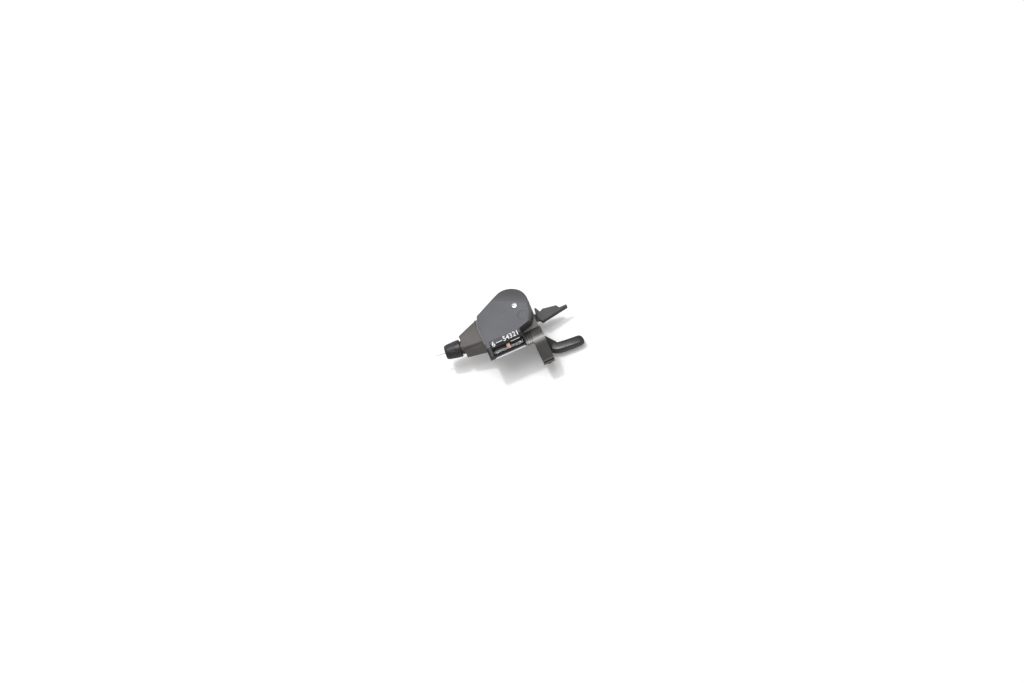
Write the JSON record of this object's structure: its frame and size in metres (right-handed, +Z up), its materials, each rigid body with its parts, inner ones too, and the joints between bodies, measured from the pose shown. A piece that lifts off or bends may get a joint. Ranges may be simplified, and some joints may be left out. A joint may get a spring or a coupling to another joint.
{
  "type": "bicycle gear shifter",
  "caption": "Trigger gear shifter for a flat handlebar: moulded body with gear window, split clamp, thumb and finger levers, indexed cable drum and barrel adjuster.",
  "frame": {"origin": "centre of the handlebar clamp's bore, midway along its width", "axes": "+X along the handlebar towards the grip, +Y forwards, +Z up through the cover"},
  "size_m": [0.1213, 0.0724, 0.0417],
  "materials": {
    "housing_plastic": "moulded dark grey nylon, fine texture",
    "cover_plastic": "smooth satin blue-grey moulding",
    "clamp_paint": "satin black coat on cast aluminium",
    "lever_plastic": "glossy black moulding",
    "blade_plastic": "satin dark grey moulding",
    "barrel_plastic": "satin dark grey moulding with grip grooves",
    "lens_clear": "clear moulded window",
    "dial_print": "black printed dial",
    "needle_orange": "orange pointer",
    "bright_steel": "plated steel",
    "spring_steel": "drawn spring steel",
    "drum_nylon": "glass-filled nylon",
    "plug_rubber": "soft black rubber"
  },
  "bodies": {
    "shifter_body": {"housing": "housing_plastic", "top_cover": "cover_plastic", "cover_screw": "bright_steel", "window_lens": "lens_clear", "dial_plate": "dial_print", "clamp_band": "clamp_paint", "clamp_foot_screws": "bright_steel", "clamp_bolt": "bright_steel", "main_axle": "bright_steel", "axle_washer": "bright_steel", "axle_nut": "bright_steel", "cable_access_plug": "plug_rubber", "pawl_plate": "bright_steel", "pawl_plate_screws": "bright_steel", "holding_pawl_pin": "bright_steel", "release_spring": "spring_steel"},
    "drum": {"winding_drum": "drum_nylon", "drum_spring": "spring_steel", "index_ratchet": "bright_steel", "drive_ratchet": "bright_steel", "cable_head": "bright_steel"},
    "cable": {"inner_cable": "bright_steel"},
    "needle": {"indicator_needle": "needle_orange"},
    "adjuster_travel": {"adjuster_detent_ring": "barrel_plastic"},
    "adjuster_knob": {"barrel_adjuster": "barrel_plastic"},
    "holding_pawl_body": {"holding_pawl": "bright_steel"},
    "finger_lever": {"release_lever_plate": "bright_steel", "release_lever_blade": "blade_plastic"},
    "thumb_lever": {"main_lever_arm": "bright_steel", "main_lever_pad": "lever_plastic", "drive_pawl_pin": "bright_steel", "main_lever_spring": "spring_steel"},
    "drive_pawl_body": {"drive_pawl": "bright_steel"}
  },
  "joints": [
    {"name": "thumb_lever_push", "type": "hinge", "parent": "shifter_body", "child": "thumb_lever", "pos_m": [-0.0135, 0.034, 0], "axis": [0, 0, 1], "range_deg": [0, 35], "stiffness_Nm_per_rad": 0.3},
    {"name": "finger_lever_pull", "type": "hinge", "parent": "shifter_body", "child": "finger_lever", "pos_m": [-0.0135, 0.034, 0], "axis": [0, 0, 1], "range_deg": [-14, 0], "stiffness_Nm_per_rad": 0.2},
    {"name": "drum_index", "type": "hinge", "parent": "shifter_body", "child": "drum", "pos_m": [-0.0135, 0.034, 0], "axis": [0, 0, 1], "range_deg": [-46.7, 46.7]},
    {"name": "cable_feed", "type": "slide", "parent": "shifter_body", "child": "cable", "axis": [0.9925, -0.1219, 0], "range_m": [-0.0103, 0.0103]},
    {"name": "needle_swing", "type": "hinge", "parent": "shifter_body", "child": "needle", "pos_m": [-0.026, 0.028, 0], "axis": [0, 0, 1], "range_deg": [-23.5, 23.5]},
    {"name": "adjuster_travel_out", "type": "slide", "parent": "shifter_body", "child": "adjuster_travel", "axis": [-0.9925, 0.1219, 0], "range_m": [0, 0.0032]},
    {"name": "adjuster_turn", "type": "hinge", "parent": "adjuster_travel", "child": "adjuster_knob", "pos_m": [-0.06465, 0.02769, 0], "axis": [-0.9925, 0.1219, 0], "range_deg": [0, 1450]},
    {"name": "holding_pawl_lift", "type": "hinge", "parent": "shifter_body", "child": "holding_pawl_body", "pos_m": [-0.01597, 0.04798, 0], "axis": [0, 0, 1], "range_deg": [0, 10]},
    {"name": "drive_pawl_lift", "type": "hinge", "parent": "thumb_lever", "child": "drive_pawl_body", "pos_m": [-0.01103, 0.02002, 0], "axis": [0, 0, 1], "range_deg": [-10, 0], "stiffness_Nm_per_rad": 0.005}
  ],
  "couplings": [
    {"joint": "cable_feed", "follows": "drum_index", "m_per_rad": 0.0125},
    {"joint": "needle_swing", "follows": "drum_index", "ratio": 0.5},
    {"joint": "adjuster_turn", "follows": "adjuster_travel_out", "rad_per_m": 7854},
    {"joint": "holding_pawl_lift", "follows": "finger_lever_pull", "ratio": -0.7}
  ]
}
